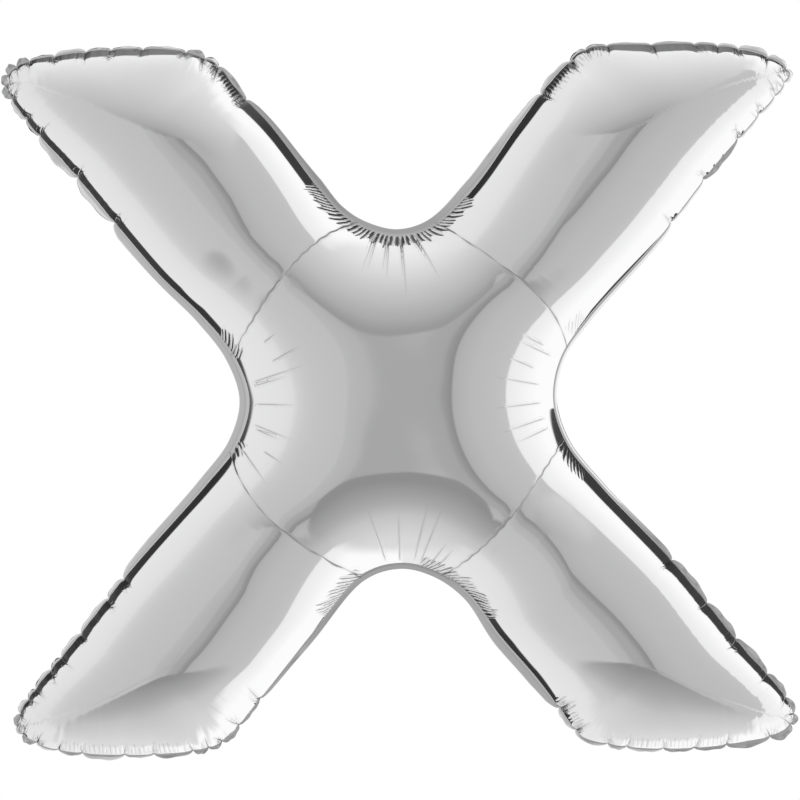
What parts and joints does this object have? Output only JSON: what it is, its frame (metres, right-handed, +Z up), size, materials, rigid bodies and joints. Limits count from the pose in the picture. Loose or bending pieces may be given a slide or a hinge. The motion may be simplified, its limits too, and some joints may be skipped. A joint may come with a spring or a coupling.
{
  "type": "letter foil balloon",
  "caption": "Inflated balloon in the shape of the letter X, of bright silver metallised film, with a flat heat-sealed margin and a filling tail folded up behind.",
  "frame": {"origin": "middle of the letter, in the plane of the heat seal", "axes": "+X to the right and +Z up as the letter is read, +Y from the front panel to the back panel"},
  "size_m": [0.9556, 0.2256, 0.867],
  "materials": {
    "silver_film": "vacuum-metallised film, mirror bright, softly wrinkled",
    "sealed_margin": "two films welded flat, duller than the panels, fine weld texture",
    "clear_valve_film": "clear thin film"
  },
  "bodies": {
    "root": {"front_film_panel": "silver_film", "back_film_panel": "silver_film", "edge_seal": "sealed_margin", "filling_tail": "silver_film", "valve_tongue": "clear_valve_film"}
  },
  "joints": []
}
